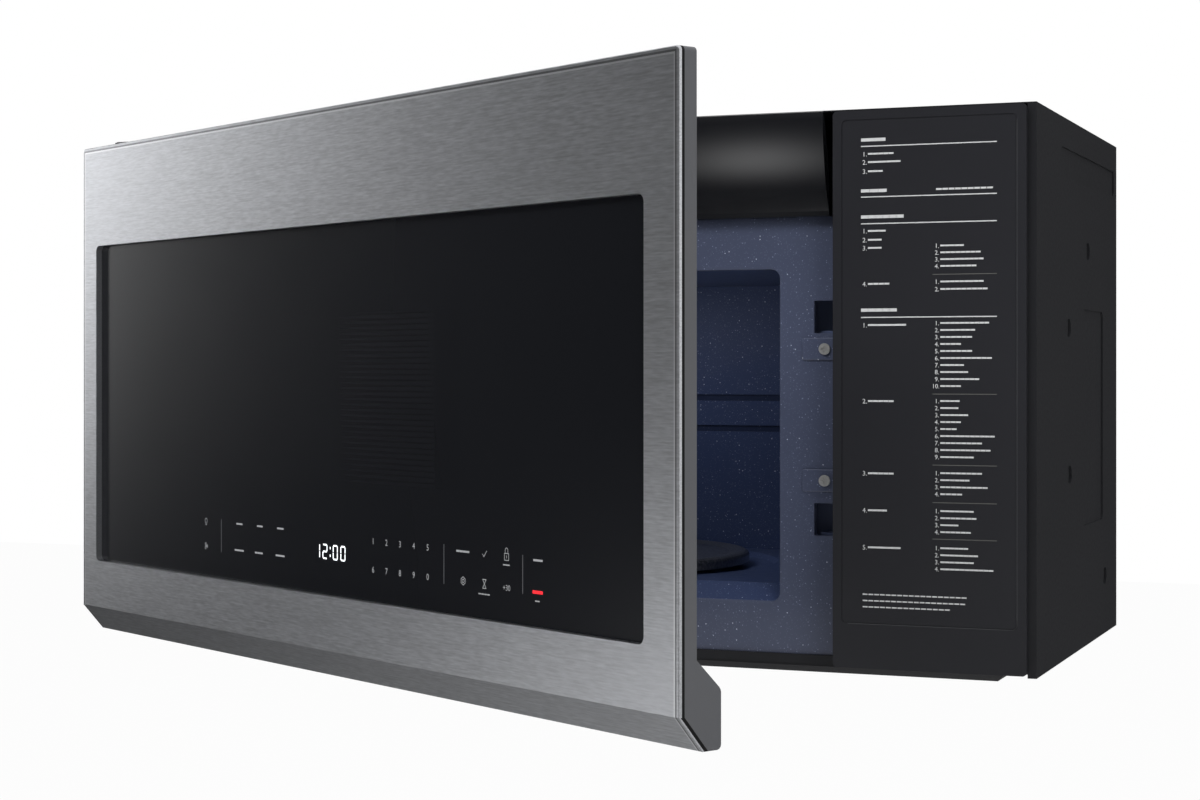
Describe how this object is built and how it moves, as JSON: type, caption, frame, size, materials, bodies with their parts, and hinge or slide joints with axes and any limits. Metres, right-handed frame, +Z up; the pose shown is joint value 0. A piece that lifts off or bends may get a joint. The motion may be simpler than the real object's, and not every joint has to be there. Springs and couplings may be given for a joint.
{
  "type": "over the range microwave",
  "caption": "Wall-hung microwave oven with a full-width side-hinged steel and glass door, fixed panel, turntable, vent fan and grease filters.",
  "frame": {"origin": "middle of the back face, where the oven bears on its wall plate", "axes": "+X right seen from the front, +Y into the wall (the front faces -Y), +Z up; stored with the door standing open 30 degrees"},
  "size_m": [0.779, 0.7502, 0.432],
  "materials": {
    "stainless": "horizontal brushed stainless steel",
    "case_black": "satin black paint",
    "panel_black": "fine satin black plastic",
    "vent_black": "gloss black plastic",
    "enamel_blue": "blue enamel with light speckles",
    "tray_grey": "dark grey speckled glaze",
    "edge_grey": "grey satin plastic",
    "core_black": "matt black plastic",
    "glass_black": "black tinted glass",
    "window_glass": "clear glass",
    "choke_black": "black enamelled steel",
    "zinc": "zinc plated steel",
    "aluminium": "bare aluminium",
    "board_green": "solder mask",
    "display": "black display with white segments",
    "lamp_glass": "frosted glass",
    "white_plastic": "white plastic",
    "nylon": "natural nylon",
    "iron": "varnished laminations"
  },
  "bodies": {
    "cabinet": {"back_plate": "zinc", "base_pan": "case_black", "blower_housing": "zinc", "blower_motor": "zinc", "cabinet_wrap": "case_black", "capacitor": "aluminium", "case_screws": "zinc", "cavity_lamp": "white_plastic", "cavity_liner": "enamel_blue", "component_shelf": "zinc", "cooktop_lamp_lenses": "lamp_glass", "cooktop_lamp_modules": "white_plastic", "cord_gland": "core_black", "duct_collar": "zinc", "fan_motor": "zinc", "fan_shroud": "core_black", "front_frame": "enamel_blue", "hinge_bracket_lower": "zinc", "hinge_bracket_upper": "zinc", "hinge_pins": "zinc", "interlock_switches": "core_black", "latch_board": "core_black", "latch_screws": "zinc", "magnetron": "aluminium", "menu_panel": "panel_black", "power_board": "board_green", "top_nuts": "zinc", "transformer": "iron", "turntable_motor": "zinc", "vent_deflector": "vent_black", "waveguide": "zinc", "waveguide_cover": "white_plastic"},
    "door": {"choke_cover": "core_black", "display_module": "display", "door_arm_lower": "zinc", "door_arm_upper": "zinc", "door_choke": "choke_black", "door_frame": "edge_grey", "door_glass": "glass_black", "door_grip": "edge_grey", "door_skin": "stainless", "door_tray": "core_black", "inner_glass": "window_glass", "latch_housing": "core_black", "touch_board": "board_green", "window_screen": "choke_black"},
    "latch": {"latch_carrier": "nylon"},
    "tray": {"turntable_tray": "tray_grey"},
    "ring": {"roller_ring": "nylon"},
    "wheel_a": {"roller_a": "nylon"},
    "wheel_b": {"roller_b": "nylon"},
    "wheel_c": {"roller_c": "nylon"},
    "drive": {"drive_coupler": "nylon"},
    "fan": {"cooling_fan": "core_black"},
    "blower": {"blower_wheels": "core_black"},
    "damper": {"damper_flap": "zinc"},
    "filter_left": {"grease_filter_left": "aluminium"},
    "filter_right": {"grease_filter_right": "aluminium"}
  },
  "joints": [
    {"name": "door_swing", "type": "hinge", "parent": "cabinet", "child": "door", "pos_m": [-0.3535, -0.343, 0], "axis": [0, 0, -1], "range_deg": [-30, 65]},
    {"name": "latch_lift", "type": "slide", "parent": "door", "child": "latch", "axis": [0, 0, 1], "range_m": [0, 0.003], "stiffness_N_per_m": 400, "springref_m": -0.003},
    {"name": "tray_spin", "type": "hinge", "parent": "cabinet", "child": "tray", "pos_m": [-0.05, -0.1715, -0.142], "axis": [0, 0, 1], "continuous": true},
    {"name": "ring_spin", "type": "hinge", "parent": "cabinet", "child": "ring", "pos_m": [-0.05, -0.1715, -0.146], "axis": [0, 0, 1], "continuous": true},
    {"name": "drive_spin", "type": "hinge", "parent": "cabinet", "child": "drive", "pos_m": [-0.05, -0.1715, -0.145], "axis": [0, 0, 1], "continuous": true},
    {"name": "wheel_a_spin", "type": "hinge", "parent": "ring", "child": "wheel_a", "pos_m": [-0.05, -0.0765, -0.146], "axis": [0, 1, 0], "continuous": true},
    {"name": "wheel_b_spin", "type": "hinge", "parent": "ring", "child": "wheel_b", "pos_m": [-0.13227, -0.219, -0.146], "axis": [-0.866, -0.5, 0], "continuous": true},
    {"name": "wheel_c_spin", "type": "hinge", "parent": "ring", "child": "wheel_c", "pos_m": [0.03227, -0.219, -0.146], "axis": [0.866, -0.5, 0], "continuous": true},
    {"name": "cooling_fan_spin", "type": "hinge", "parent": "cabinet", "child": "fan", "pos_m": [0.29, -0.023, 0.11], "axis": [0, 1, 0], "continuous": true},
    {"name": "blower_spin", "type": "hinge", "parent": "cabinet", "child": "blower", "pos_m": [0, -0.0755, 0.14525], "axis": [1, 0, 0], "continuous": true},
    {"name": "damper_swing", "type": "hinge", "parent": "cabinet", "child": "damper", "pos_m": [0, -0.042, 0.21], "axis": [-1, 0, 0], "range_deg": [0, 78]},
    {"name": "filter_left_slide", "type": "slide", "parent": "cabinet", "child": "filter_left", "axis": [0, 1, 0], "range_m": [0, 0.012]},
    {"name": "filter_right_slide", "type": "slide", "parent": "cabinet", "child": "filter_right", "axis": [0, 1, 0], "range_m": [0, 0.012]}
  ],
  "couplings": [
    {"joint": "ring_spin", "follows": "tray_spin", "ratio": 0.5},
    {"joint": "drive_spin", "follows": "tray_spin", "ratio": 1},
    {"joint": "wheel_a_spin", "follows": "tray_spin", "ratio": -12.838},
    {"joint": "wheel_b_spin", "follows": "tray_spin", "ratio": -12.838},
    {"joint": "wheel_c_spin", "follows": "tray_spin", "ratio": -12.838}
  ]
}
